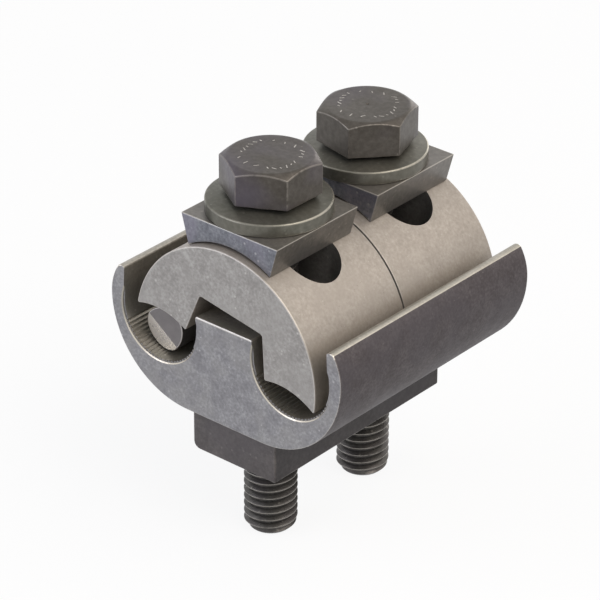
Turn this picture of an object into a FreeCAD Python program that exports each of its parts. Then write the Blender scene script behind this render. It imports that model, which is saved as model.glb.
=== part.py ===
"""Parallel-groove connector for two overhead-line conductors, with two bolts.

An extruded aluminium channel has a serrated groove on each side of a middle ridge. Two half-moon
keepers rock over the ridge and press the conductors into the grooves. Each keeper is held down by
a bolt with a spring washer and a saddle, and both bolts screw into one bar under the channel.

Frame: +X across the grooves, +Y along the conductors, +Z up. The origin is midway between the two
groove axes and midway between the two bolts. All sizes are in millimetres, angles in degrees.
"""
import FreeCAD
import Part

import math
import os

# Channel section
groove_radius = 6.95  # takes a 14 mm conductor, with its strands bedded in the serrations
groove_offset = 12.4  # groove axis to the middle plane
base_depth = 13.45  # groove axis down to the underside
base_flat_half = 7.2  # flat part of the underside, each side of the middle
outer_radius = 14.5  # rounded outer corner
lip_height = 5.7  # lip above the groove axis
lip_inner_half = 19.05
lip_thickness = 1.25
lip_crown = 0.22  # rise of the lip's rounded edge
ridge_top_half = 5.3
ridge_height = 2.65  # ridge above the groove axis
tooth_pitch = 0.6  # serrations along each groove
tooth_depth = 0.26
tooth_span = 134.0  # angle of the groove that is serrated
end_chamfer = 0.25  # broken edge round the sawn ends

# Lengths along the conductors
bolt_spacing = 21.4
front_margin = 10.3  # front bolt to the channel's front end
rear_margin = 11.1
keeper_front_recess = 0.1
keeper_rear_recess = 1.3
keeper_gap = 0.2  # between the two keepers

# Keepers
keeper_radius = 17.0
keeper_tip_rise = 0.1  # outer tips above the keeper's axis
keeper_foot_rise = 0.5  # inner feet above the keeper's axis
keeper_foot_clearance = 2.1  # inner foot to the ridge, when level
keeper_arch_rise = 1.1  # hollow of the underside between foot and tip
notch_side_clearance = 0.6  # notch to the ridge's top, each side, when level
notch_ceiling_gap = 2.65  # notch above the ridge's top, when level
slot_half_length = 9.25
slot_clearance = 0.65  # slot to the bolt, along the conductors
front_keeper_tilt = 10.0  # how far each keeper leans to the right at rest
rear_keeper_tilt = 7.6
tip_gap = 0.25  # front keeper's right tip, before its rounding, to the groove it leans into
keeper_foot_radius = 0.3  # rounded inner feet
keeper_notch_radius = 0.5  # rounded corners of the notch
keeper_tip_radius = 0.5  # blunt outer tips
keeper_end_chamfer = 0.2

# Saddles
saddle_length = 17.6
saddle_top_half = 8.95
saddle_foot_half = 7.65
saddle_side_height = 4.75
saddle_seat_gap = 0.06  # saddle's feet to the keeper
saddle_crown_gap = 0.35  # hollow of the saddle above the keeper's crown
saddle_bore_clearance = 0.6
saddle_edge_chamfer = 0.2
front_saddle_shift = -0.2  # the saddles sit a little off their bolts
rear_saddle_shift = 0.4

# Bolts, M8
bolt_diameter = 8.0
bolt_length = 55.4
head_across_flats = 13.0
head_height = 5.4
head_chamfer_share = 0.95  # top circle as a share of the flats
head_chamfer_angle = 30.0
washer_face_diameter = 11.6
washer_face_height = 0.4
bolt_end_chamfer = 0.9
front_head_turn = 29.0
rear_head_turn = 48.0

# Spring washers
washer_diameter = 18.4
washer_thickness = 2.0
washer_rise = 0.8  # height of the cone
washer_bore_clearance = 0.35
washer_shift = -0.25  # the washers sit a little off their bolts
washer_edge_chamfer = 0.15

# Nut bar
bar_width = 15.8
bar_thickness = 7.6
bar_end_margin = 8.2  # bolt axis to the bar's end
bar_rolled_radius = 1.2  # left lower edge
bar_sharp_radius = 0.35  # the other long edges
thread_clearance = 0.03  # bolt to the tapped hole's crests
channel_hole_clearance = 0.3

# Filler rod in the left groove
rod_diameter = 6.8
rod_end_recess = 1.95
rod_seat_angle = 17.0  # how far up the outer side of the groove it lies
rod_seat_gap = 0.03
rod_cut_slope = 11.0  # the ends were nipped off, which leaves a two-sided wedge
rod_cut_turn = -36.0  # direction of the wedge's edge, seen from the front

cut_overrun = 1.0  # how far a drilled hole's tool runs past the surface

# Places worked out from the sizes above
front_bolt_y = -bolt_spacing / 2
rear_bolt_y = bolt_spacing / 2
channel_front = front_bolt_y - front_margin
channel_length = front_margin + bolt_spacing + rear_margin
channel_rear = channel_front + channel_length
keeper_length = (channel_length - keeper_front_recess - keeper_rear_recess - keeper_gap) / 2
front_keeper_start = channel_front + keeper_front_recess
rear_keeper_start = front_keeper_start + keeper_length + keeper_gap


def point(x, z, y=0.0):
    """A point of a section drawn in the XZ plane."""
    return FreeCAD.Vector(x, y, z)


def line(start, end):
    """A straight edge between two points."""
    return Part.LineSegment(start, end).toShape()


def arc(start, middle, end):
    """A round edge through three points."""
    return Part.Arc(start, middle, end).toShape()


def on_circle(centre_x, centre_z, radius, angle):
    """The point of a circle in the XZ plane at an angle in degrees from +X towards +Z."""
    turn = math.radians(angle)
    return point(centre_x + radius * math.cos(turn), centre_z + radius * math.sin(turn))


def tangent_angle(x, z, radius, side):
    """Where the tangent from the point (x, z) touches a circle about the origin, in degrees."""
    distance = math.hypot(x, z)
    return math.degrees(math.atan2(z, x) + side * math.acos(radius / distance))


def turned(x, z, angle):
    """The point (x, z) turned about the origin, right side down, by an angle in degrees."""
    turn = math.radians(angle)
    cosine, sine = math.cos(turn), math.sin(turn)
    return x * cosine + z * sine, z * cosine - x * sine


def symmetric_section(half, across=()):
    """Closes a right-hand half outline into a face, with any edges that cross the middle plane."""
    mirrored = [edge.mirror(point(0, 0), FreeCAD.Vector(1, 0, 0)) for edge in half]
    return Part.Face(Part.Wire(Part.__sortEdges__(half + mirrored + list(across))))


def extrude(face, start, length):
    """Pushes a section in the XZ plane along +Y."""
    solid = face.extrude(FreeCAD.Vector(0, length, 0))
    solid.translate(FreeCAD.Vector(0, start, 0))
    return solid


def upright_cylinder(radius, y, bottom, top, x=0.0):
    """A cylinder along +Z."""
    return Part.makeCylinder(radius, top - bottom, FreeCAD.Vector(x, y, bottom))


def edges_at_y(solid, plane, chosen=lambda edge: True):
    """The edges that lie in the plane y = plane."""
    return [edge for edge in solid.Edges
            if abs(edge.BoundBox.YMin - plane) < 1e-4
            and abs(edge.BoundBox.YMax - plane) < 1e-4
            and chosen(edge)]


def long_edge(solid, x, z):
    """The straight edge along Y that passes nearest to (x, z)."""
    along = [edge for edge in solid.Edges if edge.BoundBox.YLength > 0.9 * solid.BoundBox.YLength]
    return min(along, key=lambda edge: math.hypot(edge.CenterOfMass.x - x, edge.CenterOfMass.z - z))


# The front keeper's right tip meets the right groove, which sets the height of both keepers' axis
keeper_tip_half = math.sqrt(keeper_radius ** 2 - keeper_tip_rise ** 2)
leaning_tip_x, leaning_tip_z = turned(keeper_tip_half, keeper_tip_rise, front_keeper_tilt)
tip_reach = groove_radius - tip_gap
keeper_axis_z = -leaning_tip_z - math.sqrt(tip_reach ** 2 - (leaning_tip_x - groove_offset) ** 2)

# The parts under each bolt head stack up from the keeper
keeper_sag_at_foot = keeper_radius - math.sqrt(keeper_radius ** 2 - saddle_foot_half ** 2)
saddle_foot_z = keeper_axis_z + keeper_radius - keeper_sag_at_foot + saddle_seat_gap
saddle_top_z = saddle_foot_z + saddle_side_height
washer_top_z = saddle_top_z + washer_rise + washer_thickness
bolt_end_z = washer_top_z - bolt_length


def channel_groove():
    """The edges of the right groove, from the lip's inner edge to the ridge's top corner."""
    lip_corner = point(lip_inner_half, lip_height)
    ridge_corner = point(ridge_top_half, ridge_height)
    wall_angle = tangent_angle(lip_inner_half - groove_offset, lip_height, groove_radius, -1)
    ridge_angle = tangent_angle(ridge_top_half - groove_offset, ridge_height, groove_radius, 1)
    ridge_angle -= 360
    first_tooth = -90 + tooth_span / 2
    last_tooth = -90 - tooth_span / 2
    count = round(math.radians(tooth_span) * groove_radius / tooth_pitch)
    step = tooth_span / count

    def smooth(start, end):
        return arc(*[on_circle(groove_offset, 0, groove_radius, angle)
                     for angle in (start, (start + end) / 2, end)])

    edges = [line(lip_corner, on_circle(groove_offset, 0, groove_radius, wall_angle)),
             smooth(wall_angle, first_tooth)]
    for tooth in range(count):
        crest = on_circle(groove_offset, 0, groove_radius, first_tooth - tooth * step)
        root_angle = first_tooth - (tooth + 0.5) * step
        root = on_circle(groove_offset, 0, groove_radius + tooth_depth, root_angle)
        next_crest = on_circle(groove_offset, 0, groove_radius, first_tooth - (tooth + 1) * step)
        edges += [line(crest, root), line(root, next_crest)]
    edges += [smooth(last_tooth, ridge_angle),
              line(on_circle(groove_offset, 0, groove_radius, ridge_angle), ridge_corner)]
    return edges


def make_channel():
    """The extruded body: two serrated grooves, the ridge between them and the two outer lips."""
    outer_half = base_flat_half + outer_radius
    corner_z = outer_radius - base_depth
    lip_outer_half = lip_inner_half + lip_thickness
    inward = outer_half - lip_outer_half
    upward = lip_height - corner_z
    upper_radius = (inward ** 2 + upward ** 2) / (2 * inward)
    sweep = math.degrees(math.atan2(upward, upper_radius - inward))

    half = [line(point(0, -base_depth), point(base_flat_half, -base_depth)),
            arc(*[on_circle(base_flat_half, corner_z, outer_radius, angle)
                  for angle in (-90, -45, 0)]),
            arc(*[on_circle(outer_half - upper_radius, corner_z, upper_radius, angle)
                  for angle in (0, sweep / 2, sweep)]),
            arc(point(lip_outer_half, lip_height),
                point(lip_outer_half - lip_thickness / 2, lip_height + lip_crown),
                point(lip_inner_half, lip_height))]
    half += channel_groove()
    half.append(line(point(ridge_top_half, ridge_height), point(0, ridge_height)))
    channel = extrude(symmetric_section(half), channel_front, channel_length)

    def is_outside(edge):
        middle = edge.CenterOfMass
        on_underside = middle.z < -groove_radius - 2 * tooth_depth
        on_ridge = abs(middle.x) < ridge_top_half and middle.z > 0
        on_side = abs(middle.x) > lip_outer_half and middle.z < lip_height
        return on_underside or on_ridge or on_side

    for plane in (channel_front, channel_rear):
        channel = channel.makeChamfer(end_chamfer, edges_at_y(channel, plane, is_outside))
    hole_radius = bolt_diameter / 2 + channel_hole_clearance
    for y in (front_bolt_y, rear_bolt_y):
        channel = channel.cut(upright_cylinder(hole_radius, y, -base_depth - cut_overrun,
                                               ridge_height + cut_overrun))
    return channel


def make_keeper(start, bolt_y, tilt):
    """A half-moon keeper, notched to straddle the ridge and slotted for its bolt."""
    ridge_side = groove_offset - groove_radius
    notch_top_half = ridge_top_half + notch_side_clearance
    notch_height = ridge_height - keeper_axis_z + notch_ceiling_gap
    foot_half = ridge_side + keeper_foot_clearance
    arch_middle = (foot_half + keeper_tip_half) / 2
    arch_top = (keeper_foot_rise + keeper_tip_rise) / 2 + keeper_arch_rise
    tip_angle = math.degrees(math.asin(keeper_tip_rise / keeper_radius))

    half = [line(point(0, notch_height), point(notch_top_half, notch_height)),
            line(point(notch_top_half, notch_height), point(foot_half, keeper_foot_rise)),
            arc(point(foot_half, keeper_foot_rise),
                point(arch_middle, arch_top),
                point(keeper_tip_half, keeper_tip_rise)),
            arc(*[on_circle(0, 0, keeper_radius, angle)
                  for angle in (tip_angle, (tip_angle + 90) / 2, 90)])]
    keeper = extrude(symmetric_section(half), start, keeper_length)
    corners = ((notch_top_half, notch_height, keeper_notch_radius),
               (foot_half, keeper_foot_rise, keeper_foot_radius),
               (keeper_tip_half, keeper_tip_rise, keeper_tip_radius))
    for x, z, radius in corners:
        keeper = keeper.makeFillet(radius, [long_edge(keeper, side * x, z) for side in (-1, 1)])

    def is_crown(edge):
        return edge.BoundBox.ZMax > keeper_radius - 0.01

    for plane in (start, start + keeper_length):
        keeper = keeper.makeChamfer(keeper_end_chamfer, edges_at_y(keeper, plane, is_crown))

    slot_radius = bolt_diameter / 2 + slot_clearance
    straight_half = slot_half_length - slot_radius
    slot = Part.makeBox(2 * straight_half, 2 * slot_radius, 2 * keeper_radius,
                        FreeCAD.Vector(-straight_half, bolt_y - slot_radius, -keeper_radius / 2))
    for side in (-1, 1):
        slot = slot.fuse(upright_cylinder(slot_radius, bolt_y, -keeper_radius / 2,
                                          1.5 * keeper_radius, side * straight_half))
    keeper = keeper.cut(slot)
    keeper.rotate(point(0, 0), FreeCAD.Vector(0, 1, 0), tilt)
    keeper.translate(FreeCAD.Vector(0, 0, keeper_axis_z))
    return keeper


def make_saddle(bolt_y, shift):
    """A block with sloping sides whose hollow underside straddles the keeper's crown."""
    arch_top = saddle_foot_z + keeper_sag_at_foot + saddle_crown_gap
    half = [line(point(0, saddle_top_z), point(saddle_top_half, saddle_top_z)),
            line(point(saddle_top_half, saddle_top_z), point(saddle_foot_half, saddle_foot_z))]
    hollow = arc(point(-saddle_foot_half, saddle_foot_z), point(0, arch_top),
                 point(saddle_foot_half, saddle_foot_z))
    start = bolt_y + shift - saddle_length / 2
    saddle = extrude(symmetric_section(half, [hollow]), start, saddle_length)

    def is_outside(edge):
        return edge.CenterOfMass.z > saddle_foot_z + keeper_sag_at_foot

    for plane in (start, start + saddle_length):
        saddle = saddle.makeChamfer(saddle_edge_chamfer, edges_at_y(saddle, plane, is_outside))
    bore_radius = bolt_diameter / 2 + saddle_bore_clearance
    return saddle.cut(upright_cylinder(bore_radius, bolt_y + shift,
                                       saddle_foot_z, saddle_top_z + cut_overrun))


def make_spring_washer(bolt_y):
    """A conical spring washer that stands on its rim."""
    inner = bolt_diameter / 2 + washer_bore_clearance
    outer = washer_diameter / 2
    corners = [point(inner, saddle_top_z + washer_rise),
               point(outer, saddle_top_z),
               point(outer, saddle_top_z + washer_thickness),
               point(inner, washer_top_z)]
    section = Part.Face(Part.makePolygon(corners + corners[:1]))
    washer = section.revolve(point(0, 0), FreeCAD.Vector(0, 0, 1), 360)
    rim = [edge for edge in washer.Edges
           if edge.BoundBox.ZLength < 1e-6 and abs(edge.BoundBox.XMax - outer) < 1e-4
           and edge.CenterOfMass.z > saddle_top_z + washer_thickness / 2]
    washer = washer.makeChamfer(washer_edge_chamfer, rim)
    washer.translate(FreeCAD.Vector(washer_shift, bolt_y, 0))
    return washer


def make_bolt(bolt_y, head_turn):
    """A hexagon bolt: chamfered head, washer face, shank and chamfered end."""
    corner_radius = head_across_flats / math.sqrt(3)
    head_bottom = washer_top_z + washer_face_height
    head_top = head_bottom + head_height
    corners = [FreeCAD.Vector(corner_radius * math.cos(math.radians(head_turn + 60 * side)),
                              corner_radius * math.sin(math.radians(head_turn + 60 * side)),
                              head_bottom) for side in range(6)]
    prism = Part.Face(Part.makePolygon(corners + corners[:1]))
    prism = prism.extrude(FreeCAD.Vector(0, 0, head_height))
    top_radius = head_chamfer_share * head_across_flats / 2
    drop = (corner_radius - top_radius) * math.tan(math.radians(head_chamfer_angle))
    radius = bolt_diameter / 2
    envelope_outline = [point(0, head_bottom), point(corner_radius, head_bottom),
                        point(corner_radius, head_top - drop), point(top_radius, head_top),
                        point(0, head_top)]
    shank_outline = [point(0, bolt_end_z), point(radius - bolt_end_chamfer, bolt_end_z),
                     point(radius, bolt_end_z + bolt_end_chamfer), point(radius, washer_top_z),
                     point(washer_face_diameter / 2, washer_top_z),
                     point(washer_face_diameter / 2, head_bottom), point(0, head_bottom)]
    turned_parts = []
    for outline in (envelope_outline, shank_outline):
        face = Part.Face(Part.makePolygon(outline + outline[:1]))
        turned_parts.append(face.revolve(point(0, 0), FreeCAD.Vector(0, 0, 1), 360))
    envelope, shank = turned_parts
    bolt = prism.common(envelope).fuse(shank).removeSplitter()
    bolt.translate(FreeCAD.Vector(0, bolt_y, 0))
    return bolt


def make_nut_bar():
    """The bar under the channel that both bolts screw into."""
    length = bolt_spacing + 2 * bar_end_margin
    start = -length / 2
    bottom = -base_depth - bar_thickness
    half = bar_width / 2
    bar = Part.makeBox(bar_width, length, bar_thickness, FreeCAD.Vector(-half, start, bottom))
    bar = bar.makeFillet(bar_rolled_radius, [long_edge(bar, -half, bottom)])
    sharp = [(half, bottom), (half, -base_depth), (-half, -base_depth)]
    bar = bar.makeFillet(bar_sharp_radius, [long_edge(bar, x, z) for x, z in sharp])
    for y in (front_bolt_y, rear_bolt_y):
        bar = bar.cut(upright_cylinder(bolt_diameter / 2 + thread_clearance, y,
                                       bottom - cut_overrun, cut_overrun - base_depth))
    return bar


def make_filler_rod():
    """A length of round rod in the left groove, nipped off at both ends."""
    radius = rod_diameter / 2
    reach = groove_radius - radius - rod_seat_gap
    centre = on_circle(-groove_offset, 0, reach, -90 - rod_seat_angle)
    start = channel_front + rod_end_recess
    length = channel_length - 2 * rod_end_recess
    rod = Part.makeCylinder(radius, length, FreeCAD.Vector(centre.x, start, centre.z),
                            FreeCAD.Vector(0, 1, 0))
    setback = radius * math.tan(math.radians(rod_cut_slope))
    outline = [(0, start), (radius, start + setback), (radius, start + length - setback),
               (0, start + length), (-radius, start + length - setback), (-radius, start + setback)]
    corners = [FreeCAD.Vector(across, y, -radius) for across, y in outline]
    wedge = Part.Face(Part.makePolygon(corners + corners[:1]))
    wedge = wedge.extrude(FreeCAD.Vector(0, 0, 2 * radius))
    wedge.rotate(point(0, 0), FreeCAD.Vector(0, 1, 0), 90 - rod_cut_turn)
    wedge.translate(FreeCAD.Vector(centre.x, 0, centre.z))
    return rod.common(wedge)


def main():
    """Builds every piece and writes one STEP file for each."""
    pieces = {
        "channel": make_channel(),
        "front_keeper": make_keeper(front_keeper_start, front_bolt_y, front_keeper_tilt),
        "rear_keeper": make_keeper(rear_keeper_start, rear_bolt_y, rear_keeper_tilt),
        "front_saddle": make_saddle(front_bolt_y, front_saddle_shift),
        "rear_saddle": make_saddle(rear_bolt_y, rear_saddle_shift),
        "front_spring_washer": make_spring_washer(front_bolt_y),
        "rear_spring_washer": make_spring_washer(rear_bolt_y),
        "front_bolt": make_bolt(front_bolt_y, front_head_turn),
        "rear_bolt": make_bolt(rear_bolt_y, rear_head_turn),
        "nut_bar": make_nut_bar(),
        "filler_rod": make_filler_rod(),
    }
    os.makedirs("parts", exist_ok=True)
    for name, shape in pieces.items():
        solid = shape.Solids[0] if len(shape.Solids) == 1 else shape
        solid.exportStep(os.path.join("parts", name + ".step"))
        print(name, "solids", len(shape.Solids), "valid", shape.isValid(),
              "volume", round(shape.Volume, 2), "faces", len(shape.Faces))
    print("keeper axis z", round(keeper_axis_z, 4), "saddle top", round(saddle_top_z, 3),
          "bolt end", round(bolt_end_z, 3))


main()
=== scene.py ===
"""Parallel-groove connector for overhead conductors, dressed around its CAD frame.

Every piece is worked in millimetres in the frame's own axes and scaled to metres when its mesh is
finished: +X across the grooves, +Y along the conductors, +Z up. Bevelled and rubbed faces carry a
wear value, which the finishes read to show bare, polished metal along the edges. The same value also
holds painted highlights on the edges that would catch the light.
"""
from __future__ import annotations

import logging
import math
from collections.abc import Callable, Iterable, Sequence
from dataclasses import dataclass, field
from enum import Enum, IntEnum
from typing import Any

import bmesh
import bpy
from bmesh.types import BMEdge, BMesh, BMFace, BMLayerItem, BMVert
from mathutils import Matrix, Vector

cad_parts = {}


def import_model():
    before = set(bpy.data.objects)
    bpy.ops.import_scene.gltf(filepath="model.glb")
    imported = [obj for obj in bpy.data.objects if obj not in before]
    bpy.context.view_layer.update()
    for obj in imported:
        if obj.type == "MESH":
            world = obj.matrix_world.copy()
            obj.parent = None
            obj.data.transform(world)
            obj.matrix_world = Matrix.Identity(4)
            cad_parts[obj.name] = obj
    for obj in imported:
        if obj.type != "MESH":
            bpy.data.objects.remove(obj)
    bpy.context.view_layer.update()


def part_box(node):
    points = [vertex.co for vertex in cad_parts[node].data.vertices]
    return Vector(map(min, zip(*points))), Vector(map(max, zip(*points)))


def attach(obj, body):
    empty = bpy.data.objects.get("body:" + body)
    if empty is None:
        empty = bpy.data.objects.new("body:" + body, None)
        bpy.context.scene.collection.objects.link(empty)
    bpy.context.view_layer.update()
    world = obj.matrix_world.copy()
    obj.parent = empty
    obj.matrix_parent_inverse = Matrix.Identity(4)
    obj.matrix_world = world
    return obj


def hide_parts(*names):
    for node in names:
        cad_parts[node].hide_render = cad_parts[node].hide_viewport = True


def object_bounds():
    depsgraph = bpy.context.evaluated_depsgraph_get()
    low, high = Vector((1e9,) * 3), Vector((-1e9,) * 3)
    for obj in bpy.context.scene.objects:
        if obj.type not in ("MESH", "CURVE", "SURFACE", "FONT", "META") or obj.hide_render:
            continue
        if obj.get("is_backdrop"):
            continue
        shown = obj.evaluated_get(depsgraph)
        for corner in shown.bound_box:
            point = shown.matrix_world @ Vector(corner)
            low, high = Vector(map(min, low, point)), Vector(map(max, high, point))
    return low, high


LOG = logging.getLogger("connector")
MM = 0.001
# The face attribute named here holds rubbed wear and also painted highlights along edges that catch the
# light.
WEAR_AND_SHEEN = "wear"
UP = Vector((0, 0, 1))
TOWARDS_VIEWER = (0, -1, 0)  # turning about this axis is anticlockwise seen from the front
# Millimetres
SAME = 1e-4  # points closer than this are one point
TOUCHING = 1e-3  # a point this close to a plane or a rim lies on it
SLIVER = 0.004  # points closer than this after a cut are what it left of one point
CLOSE = 0.01  # an edge this close to a corner of the drawing is that corner
CLEAR = 1.0  # how far a tool goes past the workpiece
SHORTEST = 1.0  # the edges along a piece are at least this long
# Other measures
CUT_ACROSS = 0.5  # a face whose normal leans this far along an axis was cut across it
RGBA_A, RGBA_B, RGBA_RESULT = 6, 7, 2  # the colour sockets of a Mix node


class Side(Enum):
    """The two clamping sets, one at each end of the channel."""

    FRONT = "front"
    REAR = "rear"


class Surface(IntEnum):
    """How a face was made, which is also the number of its finish on its piece."""

    SAWN = 0
    DRAWN = 1
    GROOVE = 2


class Cut(Enum):
    """What a workpiece keeps where another one crosses it."""

    AWAY = "DIFFERENCE"
    SHARED = "INTERSECT"


# Colours and node trees


def linear(hex_colour: str) -> tuple[float, float, float, float]:
    """Turns an sRGB hex colour into linear RGBA.

    Args:
        hex_colour: Six hex digits, with or without a leading #.

    Returns:
        Linear red, green, blue and an alpha of 1.
    """
    digits = hex_colour.lstrip("#")
    channels = [int(digits[i:i + 2], 16) / 255 for i in (0, 2, 4)]
    values = [c / 12.92 if c <= 0.04045 else ((c + 0.055) / 1.055) ** 2.4 for c in channels]
    return values[0], values[1], values[2], 1.0


def add_node(
    tree: bpy.types.NodeTree, kind: str, settings: dict[str, Any] | None = None,
    inputs: dict[str | int, Any] | None = None,
) -> bpy.types.Node:
    """Adds a node with its settings, socket values and links.

    Args:
        tree: The node tree to add to.
        kind: The node's type name.
        settings: Attribute names and values, set on the node itself.
        inputs: Socket names or numbers, each with a value or an output socket to link from.

    Returns:
        The new node.
    """
    node = tree.nodes.new(kind)
    for name, value in (settings or {}).items():
        setattr(node, name, value)
    for name, value in (inputs or {}).items():
        if isinstance(value, bpy.types.NodeSocket):
            tree.links.new(value, node.inputs[name])
        else:
            node.inputs[name].default_value = value
    return node


def new_material(name: str) -> tuple[bpy.types.Material, bpy.types.NodeTree]:
    """Makes an empty node material.

    Args:
        name: The material's name.

    Returns:
        The material and its emptied node tree.
    """
    material = bpy.data.materials.new(name)
    material.use_nodes = True
    material.node_tree.nodes.clear()
    return material, material.node_tree


NOISE_FIT = 0.6  # a noise of this scale has marks about one unit across
NOISE_MIDDLE = 0.5
# Few of a noise's values lie outside 0.35 to 0.65. Each look changes over one of these stretches
TONE_SPAN = (0.38, 0.62)
TINT_SPAN = (0.44, 0.60)
ROUGHNESS_SPAN = (0.35, 0.65)
PATCH_SPAN = (0.62, 0.78)
COVER_SHIFT = 0.4  # how far full cover brings the patches of wear down that stretch
WORN_SMOOTHER = 0.4  # rubbed metal loses this share of its roughness
SPECKED_CELLS = 0.5  # the share of the cells that hold no mark
SPECK_FADE = 2.2  # a mark is gone at this many times its radius
CLOUD_SPREAD = 3  # a cloud is this many times as wide as a blotch


@dataclass(frozen=True)
class MetalFinish:
    """A bare metal surface: mottled by tumbling, sawing or its coating, rubbed on its edges, and painted
    with highlights along them.

    The sizes are those of the marks on the metal, in millimetres. A pixel of the picture takes in
    about 0.15 mm, so grain that is finer on the real metal, 0.05 to 0.1 mm, is drawn 0.25 mm wide
    or more, which is as coarse as it needs to be to show.

    Attributes:
        name: The material's name.
        dark: The mottling's darkest colour.
        base: Its middle colour.
        bright: Its lightest colour.
        pit: The colour of the small sunk marks.
        fleck: The colour of the small raised marks.
        tint: The colour that broad patches lean to.
        worn_and_lit: The colour of the bare metal where an edge is rubbed, also used for the painted
            highlights on edges.
        metallic: How metallic the surface is.
        roughness: Its middle roughness.
        roughness_spread: How far the mottling takes the roughness up and down.
        grain_mm: The width of the fine mottling.
        blotch_mm: The width of the coarse mottling.
        relief_mm: The height of both.
        wear_cover: How much of an edge's wear and painted highlight shows, from 0 to 2.
        pit_mm: The spacing of the pits.
        pit_share: Their radius as a share of that spacing.
        fleck_mm: The spacing of the flecks.
        fleck_share: Their radius as a share of that spacing.
        tint_share: How far the broad patches go towards their tint.
    """

    name: str
    dark: str
    base: str
    bright: str
    pit: str
    fleck: str
    tint: str
    worn_and_lit: str
    metallic: float
    roughness: float
    roughness_spread: float
    grain_mm: float
    blotch_mm: float
    relief_mm: float
    wear_cover: float = 0.5
    pit_mm: float = 0.8
    pit_share: float = 0.12
    fleck_mm: float = 1.1
    fleck_share: float = 0.1
    tint_share: float = 0.5

    def build(self) -> bpy.types.Material:
        """Builds the material.

        Returns:
            The finished material.
        """
        material, tree = new_material(self.name)
        place = add_node(tree, "ShaderNodeTexCoord").outputs["Object"]
        grain, blotch, cloud = (
            add_node(tree, "ShaderNodeTexNoise", inputs={
                "Vector": place, "Scale": NOISE_FIT / (width_mm * MM), "Detail": detail,
                "Roughness": unevenness}).outputs["Fac"]
            for width_mm, detail, unevenness in (
                (self.grain_mm, 3.0, 0.6), (self.blotch_mm, 4.0, 0.55),
                (self.blotch_mm * CLOUD_SPREAD, 2.0, 0.5)))
        tone = self._weighted(tree, (grain, 0.5), (blotch, 0.35), (cloud, 0.15))
        colour = add_node(tree, "ShaderNodeValToRGB", inputs={"Fac": tone})
        first, last = colour.color_ramp.elements
        first.position, first.color = TONE_SPAN[0], linear(self.dark)
        last.position, last.color = TONE_SPAN[1], linear(self.bright)
        colour.color_ramp.elements.new(NOISE_MIDDLE).color = linear(self.base)
        leaning = add_node(tree, "ShaderNodeMapRange", inputs={
            "Value": cloud, "From Min": TINT_SPAN[0], "From Max": TINT_SPAN[1],
            "To Max": self.tint_share})
        tinted = add_node(tree, "ShaderNodeMix", {"data_type": "RGBA"}, {
            "Factor": leaning.outputs["Result"], RGBA_A: colour.outputs["Color"],
            RGBA_B: linear(self.tint)})
        pitted, pits = self._specks(tree, place, tinted.outputs[RGBA_RESULT], self.pit, self.pit_mm,
                                    self.pit_share)
        flecked, flecks = self._specks(tree, place, pitted, self.fleck, self.fleck_mm,
                                       self.fleck_share)
        # rubbed: where the edges show their wear and their painted highlights
        rubbed = self._rubbed_and_lit(tree, grain, blotch)
        shade = add_node(tree, "ShaderNodeMix", {"data_type": "RGBA"}, {
            "Factor": rubbed, RGBA_A: flecked, RGBA_B: linear(self.worn_and_lit)})
        rough = add_node(tree, "ShaderNodeMapRange", inputs={
            "Value": tone, "From Min": ROUGHNESS_SPAN[0], "From Max": ROUGHNESS_SPAN[1],
            "To Min": self.roughness + self.roughness_spread,
            "To Max": self.roughness - self.roughness_spread})
        smoother = self._weighted(tree, (rough.outputs["Result"], 1.0),
                                  (rubbed, -WORN_SMOOTHER * self.roughness))
        height = self._weighted(tree, (grain, 0.6), (blotch, 0.4), (flecks, 0.2), (pits, -0.35))
        bump = add_node(tree, "ShaderNodeBump", inputs={
            "Strength": 1.0, "Distance": self.relief_mm * MM, "Height": height})
        shader = add_node(tree, "ShaderNodeBsdfPrincipled", inputs={
            "Base Color": shade.outputs[RGBA_RESULT], "Metallic": self.metallic,
            "Roughness": smoother, "Normal": bump.outputs["Normal"]})
        add_node(tree, "ShaderNodeOutputMaterial", inputs={"Surface": shader.outputs["BSDF"]})
        return material

    @staticmethod
    def _weighted(tree: bpy.types.NodeTree,
                  *terms: tuple[bpy.types.NodeSocket, float]) -> bpy.types.NodeSocket:
        """Adds values up, each with its own share.

        Args:
            tree: The material's node tree.
            terms: The values and their shares.

        Returns:
            The sum.
        """
        total: float | bpy.types.NodeSocket = 0.0
        for value, share in terms:
            step = add_node(tree, "ShaderNodeMath", {"operation": "MULTIPLY_ADD"},
                            {0: value, 1: share, 2: total})
            total = step.outputs["Value"]
        return total

    @staticmethod
    def _specks(tree: bpy.types.NodeTree, place: bpy.types.NodeSocket, under: bpy.types.NodeSocket,
                colour: str, size_mm: float, share: float,
                ) -> tuple[bpy.types.NodeSocket, bpy.types.NodeSocket]:
        """Scatters small marks over the metal, in about half of the cells of a fine pattern.

        Args:
            tree: The material's node tree.
            place: The position that the pattern reads.
            under: The colour under the marks.
            colour: The marks' own colour.
            size_mm: The spacing of the cells.
            share: The radius of a mark as a share of that spacing.

        Returns:
            The colour with the marks on it, and where they are.
        """
        cells = add_node(tree, "ShaderNodeTexVoronoi", {"feature": "F1"}, {
            "Vector": place, "Scale": 1 / (size_mm * MM), "Randomness": 1.0})
        spots = add_node(tree, "ShaderNodeMapRange", inputs={
            "Value": cells.outputs["Distance"], "From Min": share, "From Max": share * SPECK_FADE,
            "To Min": 1.0, "To Max": 0.0})
        chosen = add_node(tree, "ShaderNodeSeparateColor", inputs={"Color": cells.outputs["Color"]})
        some = add_node(tree, "ShaderNodeMath", {"operation": "GREATER_THAN"},
                        {0: chosen.outputs["Red"], 1: SPECKED_CELLS})
        mask = add_node(tree, "ShaderNodeMath", {"operation": "MULTIPLY"},
                        {0: spots.outputs["Result"], 1: some.outputs["Value"]})
        mixed = add_node(tree, "ShaderNodeMix", {"data_type": "RGBA"}, {
            "Factor": mask.outputs["Value"], RGBA_A: under, RGBA_B: linear(colour)})
        return mixed.outputs[RGBA_RESULT], mask.outputs["Value"]

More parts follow.
